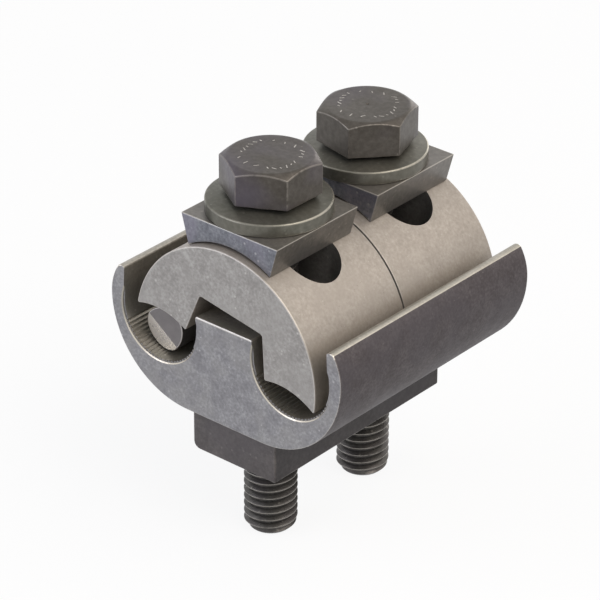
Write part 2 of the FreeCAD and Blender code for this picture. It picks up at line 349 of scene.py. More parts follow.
    def _rubbed_and_lit(self, tree: bpy.types.NodeTree, grain: bpy.types.NodeSocket,
                blotch: bpy.types.NodeSocket) -> bpy.types.NodeSocket:
        """Breaks the edges' wear and their painted highlights up into patches.

        Args:
            tree: The material's node tree.
            grain: The fine mottling.
            blotch: The coarse mottling.

        Returns:
            How far each place takes the rubbed and highlighted colour, from 0 to 1.
        """
        worn_and_lit = add_node(tree, "ShaderNodeAttribute", {"attribute_name": WEAR_AND_SHEEN}).outputs["Fac"]
        low, high = (edge - COVER_SHIFT * self.wear_cover for edge in PATCH_SPAN)
        patches = add_node(tree, "ShaderNodeMapRange", inputs={
            "Value": self._weighted(tree, (grain, 0.4), (blotch, 0.6)), "From Min": low,
            "From Max": high})
        rubbed = add_node(tree, "ShaderNodeMath", {"operation": "MULTIPLY"},
                          {0: worn_and_lit, 1: patches.outputs["Result"]})
        return rubbed.outputs["Value"]


# Barrel-tumbled sawn aluminium: fine dull knocks over a cool grey with bluish and warm patches
CHANNEL_END = MetalFinish(
    "tumbled_sawn_aluminium", dark="#7c7b7e", base="#8b8a8d", bright="#a0a0a2", pit="#7c7b7e",
    fleck="#adacad", tint="#93918f", worn_and_lit="#d8d3cb",
    metallic=0.75, roughness=0.50, roughness_spread=0.06, grain_mm=0.28, blotch_mm=1.0, relief_mm=0.022,
    wear_cover=0.85, pit_mm=0.6, pit_share=0.08, fleck_mm=1.3, fleck_share=0.07, tint_share=0.35)
# The skin that the extrusion die left, with fine pepper-like specks; its dark brown grey is partly the
# skin's own tone and partly painted shade for the channel's sides
CHANNEL_SKIN_AND_SHADE = MetalFinish(
    "extruded_aluminium_skin_painted_shade", dark="#413b3c", base="#4c4648", bright="#5a5455", pit="#3c3739",
    fleck="#655f5f", tint="#494448", worn_and_lit="#a8a097",
    metallic=0.40, roughness=0.58, roughness_spread=0.05, grain_mm=0.25, blotch_mm=1.4, relief_mm=0.010,
    wear_cover=0.7, pit_mm=0.6, pit_share=0.08, fleck_mm=0.9, fleck_share=0.06)
# The grooves' inner walls and the tops of the lips and the ridge: satiny, and painted lighter as painted
# light standing in for the light that bounces into the grooves and onto these tops
CHANNEL_GROOVE_AND_BOUNCE = MetalFinish(
    "groove_aluminium_painted_light", dark="#9d988e", base="#aaa59b", bright="#b7b2a8", pit="#928b82",
    fleck="#bfbab0", tint="#9e9b90", worn_and_lit="#d3cbbe",
    metallic=0.75, roughness=0.40, roughness_spread=0.05, grain_mm=0.30, blotch_mm=1.6, relief_mm=0.006,
    wear_cover=0.9, pit_share=0.05)
# The keepers' sawn faces: the same grey, a little warmer
KEEPER_END = MetalFinish(
    "keeper_sawn_aluminium", dark="#8e8b88", base="#9c9996", bright="#adaba8", pit="#8a8784",
    fleck="#bab7b3", tint="#989592", worn_and_lit="#d2cdc6",
    metallic=0.75, roughness=0.50, roughness_spread=0.06, grain_mm=0.30, blotch_mm=1.1, relief_mm=0.020,
    wear_cover=0.85, pit_mm=0.6, pit_share=0.08, fleck_mm=1.4, fleck_share=0.07)
# The keepers' drawn crown: silky warm silver, with faint brown patches
KEEPER_CROWN = MetalFinish(
    "keeper_drawn_aluminium", dark="#968e85", base="#a0988f", bright="#aca49b", pit="#918980",
    fleck="#aca59c", tint="#9b938a", worn_and_lit="#cfc8be",
    metallic=0.40, roughness=0.44, roughness_spread=0.04, grain_mm=0.30, blotch_mm=1.5, relief_mm=0.010,
    wear_cover=0.9, pit_mm=0.7, pit_share=0.07, fleck_share=0.06)
# The saddles' sawn ends: bluish grey with violet patches
SADDLE_END = MetalFinish(
    "saddle_sawn_aluminium", dark="#64666c", base="#777980", bright="#8d8e93", pit="#5f6064",
    fleck="#a3a3a6", tint="#837f8d", worn_and_lit="#ccc9c5",
    metallic=0.70, roughness=0.46, roughness_spread=0.06, grain_mm=0.32, blotch_mm=1.4, relief_mm=0.018,
    wear_cover=0.95, pit_share=0.07)
# The saddles' drawn faces: warm satin grey
SADDLE_SKIN = MetalFinish(
    "saddle_drawn_aluminium", dark="#6b6762", base="#76726c", bright="#837e77", pit="#64605b",
    fleck="#8a857e", tint="#726f6d", worn_and_lit="#ccc6bc",
    metallic=0.60, roughness=0.40, roughness_spread=0.05, grain_mm=0.40, blotch_mm=2.4, relief_mm=0.005,
    wear_cover=1.0, pit_share=0.05)
# Dipped spring steel: dull olive grey, smooth to the touch
WASHER_STEEL = MetalFinish(
    "dipped_spring_steel", dark="#5b5a51", base="#65645b", bright="#716f66", pit="#56554d",
    fleck="#77756c", tint="#6a665e", worn_and_lit="#b5b0a3",
    metallic=0.65, roughness=0.40, roughness_spread=0.04, grain_mm=0.50, blotch_mm=4.0, relief_mm=0.002,
    wear_cover=0.8, pit_share=0.05)
# Dipped bolt steel: a smooth warm grey with violet patches, and a few knocks rubbed light
BOLT_STEEL = MetalFinish(
    "dipped_bolt_steel", dark="#46413b", base="#4f4a44", bright="#59544e", pit="#433e38",
    fleck="#706b64", tint="#565060", worn_and_lit="#a19b93",
    metallic=0.60, roughness=0.38, roughness_spread=0.05, grain_mm=0.45, blotch_mm=3.0, relief_mm=0.005,
    wear_cover=0.7, pit_share=0.05, fleck_mm=1.9, fleck_share=0.05)
# The raised marks on the heads, which the socket keeps rubbed bright
MARK_STEEL = MetalFinish(
    "rubbed_bolt_steel", dark="#8f8a83", base="#b0aba4", bright="#cfcac3", pit="#8a857e",
    fleck="#d5d0c9", tint="#b5b0a9", worn_and_lit="#e6e1d9",
    metallic=0.75, roughness=0.30, roughness_spread=0.05, grain_mm=0.40, blotch_mm=1.2, relief_mm=0.003,
    wear_cover=1.0)
# Thread rolled into the same steel: dark in its grooves, dull on its crests
THREAD_STEEL = MetalFinish(
    "dipped_thread_steel", dark="#3f3d3b", base="#4c4a47", bright="#5c5a56", pit="#383634",
    fleck="#6c6964", tint="#4f4a4b", worn_and_lit="#97928b",
    metallic=0.60, roughness=0.40, roughness_spread=0.06, grain_mm=0.40, blotch_mm=1.5, relief_mm=0.006,
    wear_cover=0.8, pit_share=0.06)
# The steel bar's sawn ends: brown grey and dull
BAR_END = MetalFinish(
    "sawn_bar_steel", dark="#504b4a", base="#595453", bright="#645f5d", pit="#494443", fleck="#6c6765",
    tint="#555053", worn_and_lit="#7f7872",
    metallic=0.40, roughness=0.52, roughness_spread=0.05, grain_mm=0.35, blotch_mm=2.4, relief_mm=0.006,
    wear_cover=0.5, pit_share=0.06)
# Its drawn sides: a soft rolled skin, painted darker, partly its own tone and partly painted shade for
# the sides under the channel
BAR_SKIN_AND_SHADE = MetalFinish(
    "drawn_bar_steel_painted_shade", dark="#302c2c", base="#373333", bright="#403b3b", pit="#2b2727", fleck="#494544",
    tint="#353134", worn_and_lit="#7f7872",
    metallic=0.40, roughness=0.52, roughness_spread=0.05, grain_mm=0.35, blotch_mm=2.4, relief_mm=0.006,
    wear_cover=0.5, pit_share=0.06)
# Aluminium wire rod, nipped off: one facet of each end is burnished by the jaw and painted near-white as
# a painted highlight, the other torn
ROD_ALUMINIUM = MetalFinish(
    "nipped_rod_aluminium", dark="#474243", base="#4f4a4b", bright="#585354", pit="#403b3c",
    fleck="#635e5e", tint="#4d494b", worn_and_lit="#f2eee9",
    metallic=0.70, roughness=0.48, roughness_spread=0.04, grain_mm=0.60, blotch_mm=2.4, relief_mm=0.001,
    wear_cover=1.6, pit_share=0.04, fleck_share=0.03)


# Working meshes


class Blank:
    """A workpiece: a bmesh in millimetres whose faces carry their wear and painted edge highlights."""

    def __init__(self) -> None:
        """Starts an empty workpiece."""
        self.bm: BMesh = bmesh.new()
        self.wear = self._wear_layer()

    def _wear_layer(self) -> BMLayerItem:
        """Returns the layer that holds the faces' wear and painted highlights, made where it is missing.
        """
        layers = self.bm.faces.layers.float
        return layers.get(WEAR_AND_SHEEN) or layers.new(WEAR_AND_SHEEN)

    def lines(self) -> list[BMVert | BMEdge]:
        """Returns all points and edges."""
        return list(self.bm.verts) + list(self.bm.edges)

    def point(self, x: float, z: float) -> BMVert:
        """Starts an outline in the XZ plane."""
        return self.bm.verts.new((x, 0, z))

    def line_to(self, start: BMVert, x: float, z: float) -> BMVert:
        """Carries an outline on in a straight line.

        Args:
            start: The outline's last point.
            x: Across.
            z: Up.

        Returns:
            The outline's new last point.
        """
        made = bmesh.ops.extrude_vert_indiv(self.bm, verts=[start])["verts"][0]
        made.co = (x, 0, z)
        return made

    def arc(self, start: BMVert, centre: tuple[float, float], degrees: float,
            steps: int) -> list[BMVert]:
        """Carries an outline on round a centre.

        Args:
            start: The outline's last point.
            centre: Across and up.
            degrees: How far, anticlockwise seen from the front.
            steps: The number of edges.

        Returns:
            The new points in order.
        """
        points = []
        for _ in range(steps):
            spun = bmesh.ops.spin(
                self.bm, geom=[start], cent=(centre[0], 0, centre[1]), axis=TOWARDS_VIEWER,
                angle=math.radians(degrees / steps), steps=1)
            start = next(item for item in spun["geom_last"] if isinstance(item, BMVert))
            points.append(start)
        return points

    def mirror_outline(self) -> None:
        """Mirrors a half outline over the middle plane and joins the two halves."""
        bmesh.ops.mirror(self.bm, geom=self.lines(), axis="X", merge_dist=SAME)
        bmesh.ops.remove_doubles(self.bm, verts=self.bm.verts, dist=SAME)

    def extrude_outline(self, start: float, length: float) -> None:
        """Fills the closed outline and pushes it along +Y.

        Args:
            start: The place of its front end.
            length: How far it goes.
        """
        bmesh.ops.translate(self.bm, verts=self.bm.verts, vec=(0, start, 0))
        self.extrude_filled((0, length, 0))

    def extrude_filled(self, way: tuple[float, float, float]) -> None:
        """Fills the closed outline where it lies and pushes it along a way.

        Args:
            way: How far it goes along each axis.
        """
        face = bmesh.ops.contextual_create(self.bm, geom=list(self.bm.edges))["faces"][0]
        made = bmesh.ops.extrude_face_region(self.bm, geom=[face])["geom"]
        moved = [item for item in made if isinstance(item, BMVert)]
        bmesh.ops.translate(self.bm, verts=moved, vec=way)
        bmesh.ops.recalc_face_normals(self.bm, faces=self.bm.faces)

    def lathe(self, steps: int) -> None:
        """Turns the outline once round the Z axis and closes the seam.

        Args:
            steps: The number of faces round the axis.
        """
        bmesh.ops.spin(self.bm, geom=self.lines(), cent=(0, 0, 0), axis=UP, angle=2 * math.pi,
                       steps=steps, use_merge=True)
        bmesh.ops.remove_doubles(self.bm, verts=self.bm.verts, dist=SAME)
        bmesh.ops.recalc_face_normals(self.bm, faces=self.bm.faces)

    def weld(self) -> None:
        """Merges points that lie on each other, which would hold a rounding back."""
        bmesh.ops.remove_doubles(self.bm, verts=self.bm.verts, dist=SLIVER)
        bmesh.ops.dissolve_degenerate(self.bm, edges=self.bm.edges, dist=SLIVER)
        bmesh.ops.recalc_face_normals(self.bm, faces=self.bm.faces)

    def bevel(self, edges: Iterable[BMEdge], width: float, segments: int = 2,
              wear: Callable[[Vector], float] = lambda middle: 0.0) -> None:
        """Rounds edges and gives the new faces their wear, which also places painted highlights.

        Args:
            edges: The edges to round.
            width: The distance from the edge to where the rounding starts.
            segments: The number of faces across the rounding.
            wear: The wear of a new face, painted highlight included, from its middle.
        """
        made = bmesh.ops.bevel(
            self.bm, geom=list(edges), offset=width, offset_type="OFFSET", segments=segments,
            profile=0.5, affect="EDGES", clamp_overlap=True, material=-1)
        for face in made["faces"]:
            face[self.wear] = wear(face.calc_center_median())

    def round_corner(self, x: float, z: float, radius: float) -> None:
        """Rounds the lengthwise edges that pass through (x, z) and (-x, z).

        Args:
            x: Across.
            z: Up.
            radius: The radius of the rounding.
        """
        for edge in list(self.bm.edges):
            if not edge.is_valid or not self.is_lengthwise(edge):
                continue
            middle = (edge.verts[0].co + edge.verts[1].co) / 2
            if math.hypot(abs(middle.x) - x, middle.z - z) < CLOSE:
                self.bevel([edge], radius * math.tan(edge.calc_face_angle() / 2), segments=5)

    @staticmethod
    def is_lengthwise(edge: BMEdge) -> bool:
        """Whether an edge runs along the channel, and isn't one of the short ones of a rounding."""
        return abs(edge.verts[0].co.y - edge.verts[1].co.y) >= SHORTEST

    def sharp_edges(self, degrees: float,
                    chosen: Callable[[BMEdge], bool] = lambda edge: True) -> list[BMEdge]:
        """The outward corners of the workpiece.

        Args:
            degrees: The least turn between the two faces.
            chosen: A further test.

        Returns:
            The edges that pass.
        """
        least = math.radians(degrees)
        return [edge for edge in self.bm.edges
                if edge.is_manifold and edge.calc_face_angle_signed() > least and chosen(edge)]

    def combine(self, other: Blank, cut: Cut) -> None:
        """Cuts another workpiece away, or keeps only what both share.

        Args:
            other: The second workpiece, which is used up.
            cut: Which of the two.
        """
        objects = []
        for blank in (self, other):
            mesh = bpy.data.meshes.new("working")
            blank.bm.to_mesh(mesh)
            blank.bm.free()
            objects.append(bpy.data.objects.new("working", mesh))
            bpy.context.scene.collection.objects.link(objects[-1])
        body, tool = objects
        boolean = body.modifiers.new("boolean", "BOOLEAN")
        boolean.operation, boolean.solver, boolean.object = cut.value, "EXACT", tool
        graph = bpy.context.evaluated_depsgraph_get()
        result = bpy.data.meshes.new_from_object(body.evaluated_get(graph))
        self.bm = bmesh.new()
        self.bm.from_mesh(result)
        self.wear = self._wear_layer()
        bpy.data.meshes.remove(result)
        for item in objects:
            mesh = item.data
            bpy.data.objects.remove(item)
            bpy.data.meshes.remove(mesh)
        self.weld()

    def drill(self, radius: float, y: float, low: float, high: float) -> None:
        """Drills an upright hole through the middle plane.

        Args:
            radius: The hole's radius.
            y: Its place along the channel.
            low: The height of the workpiece's underside.
            high: The height of its top.
        """
        drill = rod_blank(radius, low - CLEAR, high + CLEAR)
        drill.move(y=y)
        self.combine(drill, Cut.AWAY)

    def turn(self, degrees: float, axis: tuple[float, float, float]) -> None:
        """Turns the workpiece about an axis through the origin."""
        bmesh.ops.rotate(self.bm, verts=self.bm.verts, cent=(0, 0, 0),
                         matrix=Matrix.Rotation(math.radians(degrees), 3, axis))

    def move(self, x: float = 0.0, y: float = 0.0, z: float = 0.0) -> None:
        """Moves the workpiece."""
        bmesh.ops.translate(self.bm, verts=self.bm.verts, vec=(x, y, z))

    def finish(self, name: str, metals: Sequence[bpy.types.Material], smooth_degrees: float,
               pick: Callable[[BMFace], int] = lambda face: 0) -> bpy.types.Object:
        """Scales the workpiece to metres and makes it an object.

        Args:
            name: The object's name.
            metals: Its finishes.
            smooth_degrees: Edges that turn more than this stay sharp.
            pick: The number of a face's finish.

        Returns:
            The object, at the origin, with its place in its mesh.
        """
        for face in self.bm.faces:
            face.material_index = pick(face)
        bmesh.ops.scale(self.bm, verts=self.bm.verts, vec=(MM, MM, MM))
        mesh = bpy.data.meshes.new(name)
        self.bm.to_mesh(mesh)
        self.bm.free()
        mesh.shade_smooth()
        mesh.set_sharp_from_angle(angle=math.radians(smooth_degrees))
        for metal in metals:
            mesh.materials.append(metal)
        made = bpy.data.objects.new(name, mesh)
        bpy.context.scene.collection.objects.link(made)
        weighted = made.modifiers.new("weighted_normals", "WEIGHTED_NORMAL")
        weighted.keep_sharp = True
        return made


def rod_blank(radius: float, bottom: float, top: float, segments: int = 96) -> Blank:
    """Makes an upright cylinder.

    Args:
        radius: Its radius.
        bottom: The height of its lower end.
        top: The height of its upper end.
        segments: The number of sides.

    Returns:
        The cylinder as a workpiece.
    """
    blank = Blank()
    bmesh.ops.create_cone(blank.bm, cap_ends=True, segments=segments, radius1=radius, radius2=radius,
                          depth=top - bottom)
    blank.move(z=(top + bottom) / 2)
    return blank


def tangent_angle(x: float, z: float, radius: float, side: int) -> float:
    """Where a tangent from a point touches a circle about the origin.

    Args:
        x: The point's place across.
        z: The point's place up.
        radius: The circle's radius.
        side: 1 or -1, for the two tangents.

    Returns:
        The angle of the touching point, in degrees.
    """
    return math.degrees(math.atan2(z, x) + side * math.acos(radius / math.hypot(x, z)))


def sawn_or_drawn(face: BMFace) -> Surface:
    """Tells the faces that the saw cut across the channel from those along it."""
    return Surface.SAWN if abs(face.normal.y) > CUT_ACROSS else Surface.DRAWN


def cad_box(node: str) -> tuple[Vector, Vector]:
    """The lowest and the highest corner of a CAD node, in millimetres."""
    low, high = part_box(node)
    return Vector(low) / MM, Vector(high) / MM


def bearing(azimuth: float, elevation: float) -> Vector:
    """The direction from the connector towards a place round it.

    Args:
        azimuth: Degrees to the right of the front.
        elevation: Degrees above the level.

    Returns:
        A vector of length 1.
    """
    around, above = math.radians(azimuth), math.radians(elevation)
    return Vector((math.sin(around) * math.cos(above), -math.cos(around) * math.cos(above),
                   math.sin(above)))


# The pieces


@dataclass
class Channel:
    """The extruded body: two serrated grooves, a ridge and two lips."""

    groove_radius: float = 6.95
    groove_offset: float = 12.4
    base_depth: float = 13.45
    base_flat_half: float = 7.2
    outer_radius: float = 14.5
    lip_height: float = 5.7
    lip_inner_half: float = 19.05
    lip_thickness: float = 1.25
    lip_crown: float = 0.22
    ridge_top_half: float = 5.3
    ridge_height: float = 2.65
    tooth_pitch: float = 0.6
    tooth_depth: float = 0.26
    tooth_span: float = 134.0
    hole_radius: float = 4.3
    corner_degrees: float = 30.0
    edge_round: float = 0.16
    ridge_round: float = 0.26
    rim_chamfer: float = 0.15
    relief_depth: float = 0.32
    relief_room: float = 0.02
    overrun: float = 0.1
    # The lips', mouths' and ridge's values are partly rubbed wear and partly painted highlights where
    # these edges face the light from above
    lip_wear_and_highlight: float = 1.0
    mouth_wear_and_highlight: float = 0.9
    mouth_wear_rise: float = 0.3  # for each millimetre down, from 1 mm under the grooves' axes
    ridge_wear_and_highlight: float = 0.55
    rim_wear: float = 0.25
    least_wear: float = 0.1
    ridge_band: float = 0.4  # what lies less than this under the ridge's top belongs to its edges
    lip_band: float = 0.5
    pick_room: float = 0.1

    @property
    def tooth_reach(self) -> float:
        """The radius at the roots of the teeth."""
        return self.groove_radius + self.tooth_depth

    def build(self, metals: Sequence[bpy.types.Material], bolts: Iterable[float]) -> bpy.types.Object:
        """Builds the channel.

        Args:
            metals: The finish of its sawn ends, of its skin, darkened partly as painted shade, and of
                the grooves' walls, lightened partly as painted light.
            bolts: The places of the bolt holes along the channel.

        Returns:
            The channel, in place of its CAD node.
        """
        low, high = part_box("channel")
        start, length = low[1] / MM, (high[1] - low[1]) / MM
        blank = Blank()
        self._outline(blank)
        blank.mirror_outline()
        blank.extrude_outline(start, length)
        ridge_top = blank.sharp_edges(self.corner_degrees, self._is_ridge_top)
        blank.bevel(ridge_top, self.ridge_round, segments=3, wear=self._wear)
        rims = blank.sharp_edges(self.corner_degrees, self._is_rim(start, start + length))
        blank.bevel(rims, self.edge_round, wear=self._wear)
        for y in bolts:
            blank.drill(self.hole_radius, y, -self.base_depth, self.ridge_height)
        for end, inward in ((start, 1), (start + length, -1)):
            for side in (-1, 1):
                blank.combine(self._relief(side * self.groove_offset, end, inward), Cut.AWAY)
        for face in blank.bm.faces:
            if self._in_mouth(face):
                face[blank.wear] = self._wear(face.calc_center_median())
        made = blank.finish("channel_body", metals, smooth_degrees=28, pick=self._pick)
        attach(made, "channel")
        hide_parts("channel")
        return made

    def _outline(self, blank: Blank) -> None:
        """Draws the right half of the section, from the middle of the underside to the ridge's top.

        Args:
            blank: The workpiece.
        """
        corner_z = self.outer_radius - self.base_depth
        outer_half = self.base_flat_half + self.outer_radius
        lip_outer = self.lip_inner_half + self.lip_thickness
        inward, upward = outer_half - lip_outer, self.lip_height - corner_z
        upper_radius = (inward ** 2 + upward ** 2) / (2 * inward)
        sweep = math.degrees(math.atan2(upward, upper_radius - inward))
        half_lip = self.lip_thickness / 2
        crown_radius = (half_lip ** 2 + self.lip_crown ** 2) / (2 * self.lip_crown)
        crown_sweep = 2 * math.degrees(math.asin(half_lip / crown_radius))
        crown_centre = (lip_outer - half_lip, self.lip_height + self.lip_crown - crown_radius)

        last = blank.point(0, -self.base_depth)
        last = blank.line_to(last, self.base_flat_half, -self.base_depth)
        last = blank.arc(last, (self.base_flat_half, corner_z), 90, steps=30)[-1]
        last = blank.arc(last, (outer_half - upper_radius, corner_z), sweep, steps=10)[-1]
        last = blank.arc(last, crown_centre, crown_sweep, steps=6)[-1]
        last = self._groove(blank, last)
        last = blank.line_to(last, self.ridge_top_half, self.ridge_height)
        blank.line_to(last, 0, self.ridge_height)

    def _groove(self, blank: Blank, last: BMVert) -> BMVert:
        """Draws the groove with its teeth.

        Args:
            blank: The workpiece.
            last: The inner corner of the lip.

        Returns:
            The groove's last point, beside the ridge.
        """
        centre = (self.groove_offset, 0.0)
        wall = tangent_angle(self.lip_inner_half - self.groove_offset, self.lip_height,
                             self.groove_radius, -1)
        ridge = tangent_angle(self.ridge_top_half - self.groove_offset, self.ridge_height,
                              self.groove_radius, 1) - 360
        first, final = -90 + self.tooth_span / 2, -90 - self.tooth_span / 2
        teeth = round(math.radians(self.tooth_span) * self.groove_radius / self.tooth_pitch)
        turn = math.radians(wall)
        last = blank.line_to(last, centre[0] + self.groove_radius * math.cos(turn),
                             self.groove_radius * math.sin(turn))
        last = blank.arc(last, centre, first - wall, steps=8)[-1]
        flanks = blank.arc(last, centre, final - first, steps=2 * teeth)
        axis = Vector((centre[0], 0, centre[1]))
        for root in flanks[::2]:
            outward = root.co - axis
            root.co += outward.normalized() * self.tooth_depth
        return blank.arc(flanks[-1], centre, ridge - final, steps=8)[-1]

    def _relief(self, x: float, end: float, inward: int) -> Blank:
        """Makes the tool that clears the teeth away at the mouth of a groove and breaks its edge.

        Args:
            x: The groove's axis.
            end: The place of the channel's end.
            inward: 1 at the front end, -1 at the rear.

        Returns:
            A short turned plug along the groove.
        """
        tool = Blank()
        clear = self.tooth_reach + self.relief_room
        widest = clear + self.rim_chamfer + self.overrun
        last = tool.line_to(tool.point(0, -self.overrun), widest, -self.overrun)
        last = tool.line_to(last, clear, self.rim_chamfer)
        last = tool.line_to(last, clear, self.relief_depth)
        tool.line_to(last, 0, self.relief_depth)
        tool.lathe(120)
        tool.weld()
        tool.turn(-90 * inward, (1, 0, 0))
        tool.move(x, end)
        return tool

    def _from_groove(self, place: Vector) -> float:
        """How far a point lies from the axis of the groove on its side."""
        return math.hypot(abs(place.x) - self.groove_offset, place.z)

    def _in_mouth(self, face: BMFace) -> bool:
        """Whether a face lies on the broken edge of a groove's mouth.

        Args:
            face: A face of the finished shape.

        Returns:
            True for a face that slopes, close to the groove.
        """
        outer = self.tooth_reach + self.relief_room + self.rim_chamfer
        return self._from_groove(face.calc_center_median()) < outer and 0.3 < abs(face.normal.y) < 0.9

    def _wear(self, middle: Vector) -> float:
        """Says how rubbed a rounded or broken edge is, and how much painted highlight it carries.

        The lips' outer corners are the brightest, and the grooves' mouths are bright low down, where the
        teeth are, with the ridge's top less so: these are partly rubbed and partly painted highlights
        where the edges face the light from above. The rest is rubbed a little.

        Args:
            middle: The middle of a face on the edge.

        Returns:
            Its wear with its painted highlight, from 0 to 1.
        """
        if self._from_groove(middle) < self.tooth_reach + self.rim_chamfer:
            low_down = self.mouth_wear_rise * (-1 - middle.z)
            return min(self.mouth_wear_and_highlight, max(self.least_wear, low_down))
        if abs(middle.x) < self.ridge_top_half and middle.z > self.ridge_height - self.ridge_band:
            return self.ridge_wear_and_highlight
        if middle.z > self.lip_height - self.lip_band:
            outer_corner = abs(middle.x) > self.lip_inner_half + self.lip_thickness / 2
            return self.lip_wear_and_highlight if outer_corner else self.least_wear
        return self.rim_wear

    def _pick(self, face: BMFace) -> Surface:
        """Tells how a face was made.

        Args:
            face: A face of the finished shape.

        Returns:
            Its kind: the ends are sawn, and the tops of the ridge and of the lips take the grooves'
            finish, which is painted lighter as painted light.
        """
        if self._in_mouth(face):
            return Surface.GROOVE
        if abs(face.normal.y) > CUT_ACROSS:
            return Surface.SAWN
        middle = face.calc_center_median()
        in_groove = self._from_groove(middle) < self.tooth_reach + self.rim_chamfer
        between_lips = middle.z > 0 and abs(middle.x) < self.lip_inner_half + self.pick_room
        if in_groove or between_lips or middle.z > self.lip_height - self.pick_room:
            return Surface.GROOVE
        return Surface.DRAWN

    def _is_ridge_top(self, edge: BMEdge) -> bool:
        """Whether an edge bounds the ridge's flat top."""
        return all(abs(vert.co.x) < self.ridge_top_half + CLOSE
                   and vert.co.z > self.ridge_height - CLOSE for vert in edge.verts)

    def _is_rim(self, front: float, rear: float) -> Callable[[BMEdge], bool]:
        """Makes a test for the other edges to round: the sawn ends and the lips.

        Args:
            front: The place of the front end.
            rear: The place of the rear end.

        Returns:
            The test.
        """
        def test(edge: BMEdge) -> bool:
            """Whether an edge is one of them.

            Args:
                edge: An edge of the extruded section.

            Returns:
                False for the edges along a groove's mouth too, which the relief breaks.
            """
            ends = [vert.co for vert in edge.verts]
            at_end = any(all(abs(end.y - plane) < TOUCHING for end in ends)
                         for plane in (front, rear))
            at_groove = any(self._from_groove(end) < self.tooth_reach + TOUCHING for end in ends)
            on_lip = min(end.z for end in ends) > self.lip_height - self.lip_thickness
            return (at_end and not at_groove) or (on_lip and Blank.is_lengthwise(edge))
        return test


@dataclass
class Keeper:
    """A half-moon keeper, notched over the ridge and slotted for its bolt."""

    side: Side
    tilt: float
    radius: float = 17.0
    tip_rise: float = 0.1
    foot_rise: float = 0.5
    foot_half: float = 7.55
    arch_rise: float = 1.1
    notch_half: float = 5.9
    notch_height: float = 7.535
    foot_round: float = 0.3
    notch_round: float = 0.5
    tip_round: float = 0.5
    slot_half: float = 9.25
    slot_radius: float = 4.65
    axis_z: float = -2.2348
    edge_round: float = 0.22
    crown_wear_and_highlight: float = 0.45
    outer_wear: float = 0.2
    inner_wear: float = 0.1

    @property
    def tip_half(self) -> float:
        """Half the width between the two tips, where the crown starts."""
        return math.sqrt(self.radius ** 2 - self.tip_rise ** 2)

    def build(self, metals: Sequence[bpy.types.Material], bolt_y: float) -> bpy.types.Object:
        """Builds the keeper.

        Args:
            metals: The finish of its sawn ends, then of its drawn surfaces.
            bolt_y: The place of its bolt along the channel.

        Returns:
            The keeper, in place of its CAD node.
        """
        node = f"{self.side.value}_keeper"
        low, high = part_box(node)
        length, middle = (high[1] - low[1]) / MM, (high[1] + low[1]) / 2 / MM
        blank = Blank()
        self._outline(blank)
        blank.mirror_outline()
        blank.extrude_outline(-length / 2, length)
        for corner in ((self.notch_half, self.notch_height, self.notch_round),
                       (self.foot_half, self.foot_rise, self.foot_round),
                       (self.tip_half, self.tip_rise, self.tip_round)):
            blank.round_corner(*corner)
        blank.weld()
        blank.bevel(blank.sharp_edges(50), self.edge_round, wear=self._wear)
        blank.combine(self._slot(bolt_y - middle), Cut.AWAY)
        blank.turn(self.tilt, (0, 1, 0))
        blank.move(y=middle, z=self.axis_z)
        made = blank.finish(f"{node}_body", metals, smooth_degrees=30, pick=sawn_or_drawn)
        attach(made, node)
        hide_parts(node)
        return made

    def _wear(self, middle: Vector) -> float:
        """Says how rubbed an edge is: most on the crown's rim at the end that shows, where it is partly
        a painted highlight along the lit crown.

        Args:
            middle: The middle of a face on the edge, before the keeper is put in its place.

        Returns:
            Its wear with the crown rim's painted highlight, from 0 to 1.
        """
        outer_end = middle.y < 0 if self.side is Side.FRONT else middle.y > 0
        if not outer_end:
            return self.inner_wear
        on_crown = math.hypot(middle.x, middle.z) > self.radius - 0.5
        return self.crown_wear_and_highlight if on_crown else self.outer_wear

    def _outline(self, blank: Blank) -> None:
        """Draws the right half of the level section, from the notch's middle round to the crown.

        Args:
            blank: The workpiece.
        """
        chord = Vector((self.tip_half - self.foot_half, self.tip_rise - self.foot_rise))
        rise = self.arch_rise
        arch_radius = (chord.length ** 2 / 4 + rise ** 2) / (2 * rise)
        normal = Vector((-chord.y, chord.x)).normalized()
        middle = Vector((self.foot_half, self.foot_rise)) + chord / 2
        centre = middle + normal * (rise - arch_radius)
        sweep = 2 * math.degrees(math.asin(chord.length / 2 / arch_radius))
        tip_angle = math.degrees(math.asin(self.tip_rise / self.radius))

        last = blank.line_to(blank.point(0, self.notch_height), self.notch_half, self.notch_height)
        last = blank.line_to(last, self.foot_half, self.foot_rise)
        last = blank.arc(last, (centre.x, centre.y), -sweep, steps=14)[-1]
        blank.arc(last, (0, 0), 90 - tip_angle, steps=56)

    def _slot(self, y: float) -> Blank:
        """Makes the tool that cuts the slot.

        Args:
            y: The bolt's place along the piece, from its middle.

        Returns:
            A long upright tool with round ends.
        """
        straight = self.slot_half - self.slot_radius
        tool = Blank()
        start = tool.bm.verts.new((-straight, -self.slot_radius, -self.radius))
        for end in (straight, -straight):
            corner = bmesh.ops.extrude_vert_indiv(tool.bm, verts=[start])["verts"][0]
            corner.co.x = end
            spun = bmesh.ops.spin(tool.bm, geom=[corner], cent=(end, 0, 0), axis=UP, angle=math.pi,
                                  steps=32)
            start = next(item for item in spun["geom_last"] if isinstance(item, BMVert))
        bmesh.ops.remove_doubles(tool.bm, verts=tool.bm.verts, dist=SAME)
        tool.extrude_filled((0, 0, 3 * self.radius))
        tool.move(y=y)
        return tool


